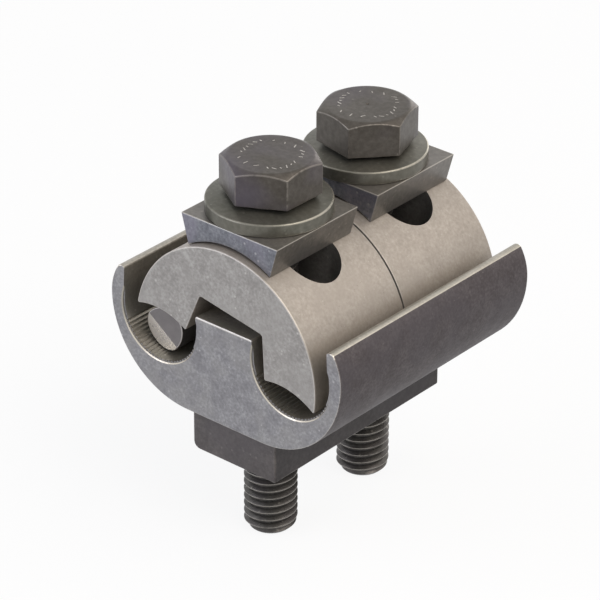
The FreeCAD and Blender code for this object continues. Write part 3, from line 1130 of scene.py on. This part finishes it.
@dataclass
class Saddle:
    """A pressure piece with sloping sides and a hollow underside."""

    side: Side
    top_half: float = 8.95
    foot_half: float = 7.65
    hollow: float = 2.168
    bore_radius: float = 4.6
    edge_round: float = 0.14
    top_wear_and_highlight: float = 0.55
    foot_wear: float = 0.15

    def build(self, metals: Sequence[bpy.types.Material]) -> bpy.types.Object:
        """Builds the saddle.

        Args:
            metals: The finish of its sawn ends, then of its drawn faces.

        Returns:
            The saddle, in place of its CAD node.
        """
        node = f"{self.side.value}_saddle"
        low, high = cad_box(node)
        blank = Blank()
        radius = (self.foot_half ** 2 + self.hollow ** 2) / (2 * self.hollow)
        sweep = math.degrees(math.asin(self.foot_half / radius))
        last = blank.line_to(blank.point(0, high.z), self.top_half, high.z)
        last = blank.line_to(last, self.foot_half, low.z)
        blank.arc(last, (0, low.z + self.hollow - radius), sweep, steps=20)
        blank.mirror_outline()
        blank.extrude_outline(low.y, high.y - low.y)
        # Top edges take more than the foot edges: wear, and painted highlights where they face the light
        # from above
        blank.bevel(blank.sharp_edges(40), self.edge_round,
                    wear=lambda middle: self.top_wear_and_highlight if middle.z > high.z - 0.5 else self.foot_wear)
        blank.drill(self.bore_radius, (low.y + high.y) / 2, low.z, high.z)
        made = blank.finish(f"{node}_block", metals, smooth_degrees=30, pick=sawn_or_drawn)
        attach(made, node)
        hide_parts(node)
        return made


@dataclass
class SpringWasher:
    """A conical spring washer that stands on its rim."""

    side: Side
    bore_radius: float = 4.35
    thickness: float = 2.0
    edge_round: float = 0.22
    near_wear: float = 0.15
    far_wear_and_highlight: float = 0.85

    def build(self, finish: bpy.types.Material) -> bpy.types.Object:
        """Builds the washer.

        Args:
            finish: Its metal.

        Returns:
            The washer, in place of its CAD node.
        """
        node = f"{self.side.value}_spring_washer"
        low, high = cad_box(node)
        outer = (high.y - low.y) / 2
        rise = high.z - low.z - self.thickness
        blank = Blank()
        first = blank.point(self.bore_radius, rise)
        last = blank.line_to(first, outer, 0)
        last = blank.line_to(last, outer, self.thickness)
        last = blank.line_to(last, self.bore_radius, rise + self.thickness)
        blank.bm.edges.new((last, first))
        blank.lathe(120)
        blank.bevel(blank.sharp_edges(40), self.edge_round, segments=3, wear=self._wear(outer))
        blank.move((low.x + high.x) / 2, (low.y + high.y) / 2, low.z)
        made = blank.finish(f"{node}_cone", [finish], smooth_degrees=30)
        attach(made, f"{self.side.value}_saddle")
        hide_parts(node)
        return made

    def _wear(self, outer: float) -> Callable[[Vector], float]:
        """Makes the rule by which the rims brighten from the left front to the right rear: a little
        wear, growing towards the right rear into a painted highlight on the lit side.

        Args:
            outer: The washer's radius.

        Returns:
            The wear of a place on a rim.
        """
        farthest = 1.42 * outer  # the most that x and y come to together on the rim

        def worn_and_lit(middle: Vector) -> float:
            """How bright a place is: its wear, and towards the right rear a painted highlight, from 0 to
            1.
            """
            share = max(0.0, middle.x + middle.y) / farthest
            return self.near_wear + (self.far_wear_and_highlight - self.near_wear) * share
        return worn_and_lit


@dataclass
class Bolt:
    """A hexagon bolt with a rolled thread along its shank."""

    side: Side
    head_turn: float
    radius: float = 4.0
    pitch: float = 1.25
    thread_depth: float = 0.72
    steps_per_turn: int = 40
    end_chamfer: float = 0.9
    across_flats: float = 13.0
    head_height: float = 5.4
    chamfer_share: float = 0.95
    chamfer_angle: float = 30.0
    washer_face_radius: float = 5.8
    washer_face_height: float = 0.4
    edge_round: float = 0.2
    crown_round: float = 0.8
    smooth_neck: float = 2.0
    centre_mark: float = 0.0
    marks: int = 30
    marks_radius: float = 4.3
    marks_height: float = 0.02
    mark_length: float = 0.6
    mark_width: float = 0.16
    mark_spread: float = 0.25
    mark_lean: float = 0.9
    mark_gap: float = 0.55  # the strokes whose sine is above this are left out
    head_wear: float = 0.3
    crest_wear: float = 0.8
    overrun: float = 0.01
    parts: list[bpy.types.Object] = field(default_factory=list)

    def build(self, head_finish: bpy.types.Material, mark_finish: bpy.types.Material,
              thread_finish: bpy.types.Material) -> None:
        """Builds the head with its marks and the threaded shank.

        Args:
            head_finish: The head's metal.
            mark_finish: The metal of the marks on the head.
            thread_finish: The thread's metal.
        """
        node = f"{self.side.value}_bolt"
        low, high = cad_box(node)
        shank_top = high.z - self.head_height - self.washer_face_height
        for blank, part, finish in (
                (self._head(high.z), "head", head_finish), (self._marks(high.z), "marks", mark_finish),
                (self._shank(low.z, shank_top), "thread", thread_finish)):
            blank.move(y=(low.y + high.y) / 2)
            self.parts.append(blank.finish(f"{node}_{part}", [finish], smooth_degrees=40))
        for part in self.parts:
            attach(part, node)
        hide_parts(node)

    def _head(self, top: float) -> Blank:
        """Makes the hexagon head, turned to a cone at its top.

        Args:
            top: The height of the head's top.

        Returns:
            The head as a workpiece.
        """
        bottom = top - self.head_height
        corner = self.across_flats / math.sqrt(3)
        top_radius = self.chamfer_share * self.across_flats / 2
        drop = (corner - top_radius) * math.tan(math.radians(self.chamfer_angle))
        head = rod_blank(corner, bottom, top, segments=6)
        head.turn(self.head_turn - 90, (0, 0, 1))
        envelope = Blank()
        last = envelope.line_to(envelope.point(0, bottom), corner + self.overrun, bottom)
        last = envelope.line_to(last, corner + self.overrun, top - drop)
        last = envelope.line_to(last, top_radius, top)
        envelope.line_to(last, 0, top)
        envelope.lathe(96)
        head.combine(envelope, Cut.SHARED)
        head.bevel(head.sharp_edges(45), self.edge_round, segments=3,
                   wear=lambda middle: self.head_wear)
        crown = head.sharp_edges(20, lambda edge: min(vert.co.z for vert in edge.verts) > top - TOUCHING)
        head.bevel(crown, self.crown_round, segments=5)
        if self.centre_mark:
            dimple = Blank()
            bmesh.ops.create_cone(dimple.bm, cap_ends=True, segments=24, radius1=0,
                                  radius2=self.centre_mark, depth=self.centre_mark)
            dimple.move(z=top + self.overrun - self.centre_mark / 2)
            head.combine(dimple, Cut.AWAY)
        return head

    def _marks(self, top: float) -> Blank:
        """Makes the broken ring of raised marks on the head, rubbed past reading.

        Sines of uneven steps stand in for chance, so the strokes are the same in every run.

        Args:
            top: The height of the head's top.

        Returns:
            A ring of short strokes, each turned its own way.
        """
        blank = Blank()
        for number in range(self.marks):
            if math.sin(2.9 * number) > self.mark_gap:
                continue
            around = math.radians(360 / self.marks * number + self.head_turn)
            lean = around + self.mark_lean * math.sin(5.3 * number)
            length = self.mark_length + self.mark_spread * math.sin(3.7 * number)
            out = self.marks_radius + self.mark_spread * math.sin(7.1 * number)
            made = bmesh.ops.create_cube(blank.bm, size=1)["verts"]
            bmesh.ops.scale(blank.bm, verts=made,
                            vec=(length, self.mark_width, 2 * self.marks_height))
            bmesh.ops.rotate(blank.bm, verts=made, cent=(0, 0, 0),
                             matrix=Matrix.Rotation(lean, 3, "Z"))
            bmesh.ops.translate(blank.bm, verts=made,
                                vec=(out * math.cos(around), out * math.sin(around), top))
        return blank

    def _shank(self, bottom: float, top: float) -> Blank:
        """Makes the shank: the washer face, a short neck, the thread and the chamfered end.

        Args:
            bottom: The height of the bolt's end.
            top: The height of the head's underside.

        Returns:
            The shank as a workpiece.
        """
        blank = Blank()
        neck_z = top - self.smooth_neck
        self._thread(blank, bottom, neck_z)
        for height, way in ((bottom, -1), (neck_z, 1)):
            everything = blank.lines() + list(blank.bm.faces)
            bmesh.ops.bisect_plane(blank.bm, geom=everything, plane_co=(0, 0, height),
                                   plane_no=(0, 0, way), clear_outer=True)
        bmesh.ops.holes_fill(blank.bm, edges=[edge for edge in blank.bm.edges if edge.is_boundary])
        for vert in blank.bm.verts:
            limit = self.radius - self.end_chamfer + max(0.0, vert.co.z - bottom)
            across = math.hypot(vert.co.x, vert.co.y)
            if across > limit:
                vert.co.x *= limit / across
                vert.co.y *= limit / across
        bmesh.ops.recalc_face_normals(blank.bm, faces=blank.bm.faces)
        for face in blank.bm.faces:
            middle = face.calc_center_median()
            if math.hypot(middle.x, middle.y) > self.radius - 0.04:
                face[blank.wear] = self.crest_wear
        self._collar(blank, neck_z, top)
        return blank

    def _thread(self, blank: Blank, bottom: float, neck_z: float) -> None:
        """Winds the thread, a little past both of its ends.

        Args:
            blank: The workpiece.
            bottom: The height of the bolt's end.
            neck_z: The height where the thread ends.
        """
        crest, root = self.radius, self.radius - self.thread_depth
        shoulder = crest - 0.06
        turns = math.ceil((neck_z - bottom) / self.pitch) + 1
        start = neck_z - turns * self.pitch
        # One turn's profile: its radius, and how far up the pitch
        profile = ((root, 0.16), (shoulder, 0.52), (crest, 0.58), (crest, 0.68), (shoulder, 0.74),
                   (root, 1.0))
        last = blank.point(root, start)
        for radius, share in profile:
            last = blank.line_to(last, radius, start + share * self.pitch)
        bmesh.ops.spin(blank.bm, geom=blank.lines(), cent=(0, 0, 0), axis=UP,
                       angle=2 * math.pi * turns,
                       dvec=(0, 0, self.pitch / self.steps_per_turn),
                       steps=turns * self.steps_per_turn)
        bmesh.ops.remove_doubles(blank.bm, verts=blank.bm.verts, dist=TOUCHING)

    def _collar(self, blank: Blank, neck_z: float, top: float) -> None:
        """Adds the plain neck and the washer face under the head.

        Args:
            blank: The workpiece.
            neck_z: The height where the thread ends.
            top: The height of the head's underside, where the washer face starts.
        """
        for radius, low, high in ((self.radius - 0.1, neck_z, top),
                                  (self.washer_face_radius, top, top + self.washer_face_height)):
            made = bmesh.ops.create_cone(blank.bm, cap_ends=True, segments=72, radius1=radius,
                                         radius2=radius, depth=high - low)
            bmesh.ops.translate(blank.bm, verts=made["verts"], vec=(0, 0, (low + high) / 2))


@dataclass
class NutBar:
    """The tapped bar under the channel."""

    rolled_round: float = 1.2
    sharp_round: float = 0.3
    hole_radius: float = 4.03
    edge_wear: float = 0.35

    def build(self, metals: Sequence[bpy.types.Material], bolts: Iterable[float]) -> bpy.types.Object:
        """Builds the bar.

        Args:
            metals: The finish of its sawn ends, then of its drawn sides, which is darkened partly as
                painted shade.
            bolts: The places of the tapped holes along the bar.

        Returns:
            The bar, in place of its CAD node.
        """
        low, high = cad_box("nut_bar")
        size, middle = high - low, (high + low) / 2
        blank = Blank()
        bmesh.ops.create_cube(blank.bm, size=1)
        bmesh.ops.scale(blank.bm, verts=blank.bm.verts, vec=size)
        blank.move(*middle)
        rolled = [edge for edge in blank.bm.edges
                  if all(vert.co.x < 0 and vert.co.z < middle.z for vert in edge.verts)]
        blank.bevel(rolled, self.rolled_round, segments=6)
        under = blank.sharp_edges(
            60, lambda edge: min(vert.co.z for vert in edge.verts) < high.z - CLOSE)
        blank.bevel(under, self.sharp_round, segments=3, wear=lambda middle: self.edge_wear)
        for y in bolts:
            blank.drill(self.hole_radius, y, low.z, high.z)
        made = blank.finish("nut_bar_block", metals, smooth_degrees=30, pick=sawn_or_drawn)
        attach(made, "channel")
        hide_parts("nut_bar")
        return made


@dataclass
class FillerRod:
    """The short rod in the left groove, nipped off at both ends."""

    cut_slope: float = 11.0
    cut_turn: float = -36.0
    edge_round: float = 0.15
    burnish_and_highlight: float = 1.0
    torn: float = 0.1
    edge_wear: float = 0.4

    def build(self, finish: bpy.types.Material) -> bpy.types.Object:
        """Builds the rod.

        Args:
            finish: Its metal.

        Returns:
            The rod, in place of its CAD node.
        """
        low, high = cad_box("filler_rod")
        middle = (low + high) / 2
        radius, half = (high.x - low.x) / 2, (high.y - low.y) / 2
        blank = rod_blank(radius, -half - CLEAR, half + CLEAR, segments=72)
        blank.combine(self._roofs(radius + CLEAR, half), Cut.SHARED)
        # The facet whose normal leans to +X faces lower left once placed and takes the near-white worn
        # colour: burnish with a painted highlight
        for face in blank.bm.faces:
            at_end = abs(face.normal.z) > CUT_ACROSS
            face[blank.wear] = self.burnish_and_highlight if at_end and face.normal.x > 0 else self.torn
        blank.bevel(blank.sharp_edges(40), self.edge_round, segments=3,
                    wear=lambda middle: self.edge_wear)
        blank.turn(-90, (1, 0, 0))
        blank.turn(90 - self.cut_turn, (0, 1, 0))
        blank.move(*middle)
        made = blank.finish("filler_rod_length", [finish], smooth_degrees=18)
        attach(made, "channel")
        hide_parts("filler_rod")
        return made

    def _roofs(self, reach: float, half: float) -> Blank:
        """Makes the tool that leaves a ridge across each end of the upright rod.

        Args:
            reach: How far the tool goes to each side.
            half: Half the rod's length, to the ridges.

        Returns:
            A prism with a roof at its top and at its bottom.
        """
        tool = Blank()
        shoulder = half - reach * math.tan(math.radians(self.cut_slope))
        last = tool.line_to(tool.point(0, -half), reach, -shoulder)
        last = tool.line_to(last, reach, shoulder)
        tool.line_to(last, 0, half)
        tool.mirror_outline()
        tool.extrude_outline(-reach, 2 * reach)
        return tool


# The studio


@dataclass
class Camera:
    """The photograph's camera, fitted to the connector's own sizes."""

    azimuth: float = 40.31
    elevation: float = 29.02
    roll: float = 0.25
    focal_px: float = 3345.08
    picture_px: float = 600.0
    sensor_mm: float = 36.0
    place_mm: tuple[float, float, float] = (274.72, -328.03, 235.84)

    def build(self) -> bpy.types.Object:
        """Makes the camera and gives it to the scene.

        Returns:
            The camera object.
        """
        back = bearing(self.azimuth, self.elevation)
        around, roll = math.radians(self.azimuth), math.radians(self.roll)
        level = Vector((math.cos(around), math.sin(around), 0))
        upright = back.cross(level)
        right = math.cos(roll) * level + math.sin(roll) * upright
        up = math.cos(roll) * upright - math.sin(roll) * level
        data = bpy.data.cameras.new("camera")
        data.sensor_fit, data.sensor_width = "HORIZONTAL", self.sensor_mm
        data.lens = self.sensor_mm * self.focal_px / self.picture_px
        data.clip_start, data.clip_end = 0.01, 20
        camera = bpy.data.objects.new("camera", data)
        turn = Matrix((right, up, back)).transposed().to_4x4()
        camera.matrix_world = Matrix.Translation(Vector(self.place_mm) * MM) @ turn
        bpy.context.scene.collection.objects.link(camera)
        bpy.context.scene.camera = camera
        return camera


@dataclass(frozen=True)
class SoftBox:
    """A square area light that points at the connector.

    Attributes:
        name: The light's name.
        azimuth: Degrees to the right of the front.
        elevation: Degrees above the level.
        distance: From the connector, in metres.
        size: The length of its sides, in metres.
        watts: Its power.
        colour: Its sRGB colour.
    """

    name: str
    azimuth: float
    elevation: float
    distance: float
    size: float
    watts: float
    colour: str

    def build(self) -> bpy.types.Object:
        """Makes the light.

        Returns:
            The light object.
        """
        back = bearing(self.azimuth, self.elevation)
        data = bpy.data.lights.new(self.name, "AREA")
        data.shape, data.size, data.energy = "SQUARE", self.size, self.watts
        data.color = linear(self.colour)[:3]
        light = bpy.data.objects.new(self.name, data)
        light.location = back * self.distance
        light.rotation_mode = "QUATERNION"
        light.rotation_quaternion = back.to_track_quat("Z", "Y")
        bpy.context.scene.collection.objects.link(light)
        return light


@dataclass
class Studio:
    """A plain white floor under soft light."""

    floor_colour: str = "#ffffff"
    floor_bounce: str = "#8f9195"
    floor_gap_mm: float = 0.1
    floor_half_m: float = 3.0
    shadow_share: float = 0.11
    ambient: str = "#dfe3ea"
    ambient_strength: float = 0.4
    boxes: tuple[SoftBox, ...] = (
        SoftBox("key", 122, 46, 0.9, 1.0, 3.2, "#fff5ea"),
        SoftBox("side", 80, 46, 0.9, 0.6, 3.6, "#fff6ec"),
        SoftBox("fill", -35, 22, 0.9, 0.8, 4.4, "#f0f2ff"),
        SoftBox("back", 192, 12, 0.9, 0.4, 0.8, "#fff8f0"),
    )

    def build(self, floor_z: float) -> None:
        """Makes the floor, the world and the lights.

        Args:
            floor_z: The lowest point of the connector, in metres.
        """
        scene = bpy.context.scene
        scene.view_settings.view_transform = "Standard"
        blank = bmesh.new()
        bmesh.ops.create_grid(blank, x_segments=1, y_segments=1, size=self.floor_half_m)
        bmesh.ops.translate(blank, verts=blank.verts, vec=(0, 0, floor_z - self.floor_gap_mm * MM))
        mesh = bpy.data.meshes.new("floor")
        blank.to_mesh(mesh)
        blank.free()
        mesh.materials.append(self._floor_material())
        floor = bpy.data.objects.new("floor", mesh)
        scene.collection.objects.link(floor)
        floor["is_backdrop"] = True
        self._world()
        for box in self.boxes:
            box.build()

    def _floor_material(self) -> bpy.types.Material:
        """Makes a floor that the camera sees as white paper with a light shadow.

        Returns:
            The material.
        """
        material, tree = new_material("white_paper")
        seen = self._seen(tree)
        colour = add_node(tree, "ShaderNodeMix", {"data_type": "RGBA"}, {
            "Factor": seen, RGBA_A: linear(self.floor_bounce), RGBA_B: linear(self.floor_colour)})
        paper = add_node(tree, "ShaderNodeBsdfDiffuse", inputs={
            "Color": colour.outputs[RGBA_RESULT]})
        white = add_node(tree, "ShaderNodeEmission", inputs={"Color": (1, 1, 1, 1), "Strength": 1.0})
        share = add_node(tree, "ShaderNodeMath", {"operation": "MULTIPLY"},
                         {0: seen, 1: 1 - self.shadow_share})
        mixed = add_node(tree, "ShaderNodeMixShader", inputs={
            0: share.outputs["Value"], 1: paper.outputs["BSDF"], 2: white.outputs["Emission"]})
        add_node(tree, "ShaderNodeOutputMaterial", inputs={"Surface": mixed.outputs["Shader"]})
        return material

    @staticmethod
    def _seen(tree: bpy.types.NodeTree) -> bpy.types.NodeSocket:
        """Tells what the camera sees from what only lights the metal.

        Args:
            tree: The node tree of the floor or the world.

        Returns:
            1 for what the camera sees, directly, in a mirror or through glass.
        """
        path = add_node(tree, "ShaderNodeLightPath")
        mirrored = add_node(tree, "ShaderNodeMath", {"operation": "MAXIMUM"}, {
            0: path.outputs["Is Glossy Ray"], 1: path.outputs["Is Transmission Ray"]})
        either = add_node(tree, "ShaderNodeMath", {"operation": "MAXIMUM"}, {
            0: path.outputs["Is Camera Ray"], 1: mirrored.outputs["Value"]})
        return either.outputs["Value"]

    def _world(self) -> None:
        """Makes the surroundings: white to the camera, a soft cool grey to the metal."""
        world = bpy.data.worlds.new("studio")
        world.use_nodes = True
        tree = world.node_tree
        tree.nodes.clear()
        soft = add_node(tree, "ShaderNodeBackground", inputs={
            "Color": linear(self.ambient), "Strength": self.ambient_strength})
        white = add_node(tree, "ShaderNodeBackground", inputs={"Color": (1, 1, 1, 1), "Strength": 1.0})
        mixed = add_node(tree, "ShaderNodeMixShader", inputs={
            0: self._seen(tree), 1: soft.outputs["Background"], 2: white.outputs["Background"]})
        add_node(tree, "ShaderNodeOutputWorld", inputs={"Surface": mixed.outputs["Shader"]})
        bpy.context.scene.world = world


def report(*pieces: bpy.types.Object) -> None:
    """Says which pieces are ready."""
    for piece in pieces:
        LOG.info("made %s", piece.name)


def main() -> None:
    """Builds the connector and its studio."""
    logging.basicConfig(level=logging.INFO, format="%(name)s: %(message)s")
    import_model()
    head_turns = {Side.FRONT: 29.0, Side.REAR: 48.0}
    centre_marks = {Side.FRONT: 0.0, Side.REAR: 0.3}
    keeper_tilts = {Side.FRONT: 10.0, Side.REAR: 7.6}
    bolt_places = {}
    for side in Side:
        low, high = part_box(f"{side.value}_bolt")
        bolt_places[side] = (low[1] + high[1]) / 2 / MM
    bolt_metals = BOLT_STEEL.build(), MARK_STEEL.build(), THREAD_STEEL.build()
    keeper_metals = KEEPER_END.build(), KEEPER_CROWN.build()
    saddle_metals = SADDLE_END.build(), SADDLE_SKIN.build()
    washer_metal = WASHER_STEEL.build()
    channel_metals = CHANNEL_END.build(), CHANNEL_SKIN_AND_SHADE.build(), CHANNEL_GROOVE_AND_BOUNCE.build()
    bar_metals = BAR_END.build(), BAR_SKIN_AND_SHADE.build()
    report(Channel().build(channel_metals, bolt_places.values()))
    report(NutBar().build(bar_metals, bolt_places.values()))
    report(FillerRod().build(ROD_ALUMINIUM.build()))
    for side in Side:
        report(Keeper(side, keeper_tilts[side]).build(keeper_metals, bolt_places[side]))
        report(Saddle(side).build(saddle_metals))
        report(SpringWasher(side).build(washer_metal))
        bolt = Bolt(side, head_turns[side], centre_mark=centre_marks[side])
        bolt.build(*bolt_metals)
        report(*bolt.parts)
    Camera().build()
    Studio().build(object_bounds()[0][2])


if __name__ == "__main__":
    main()
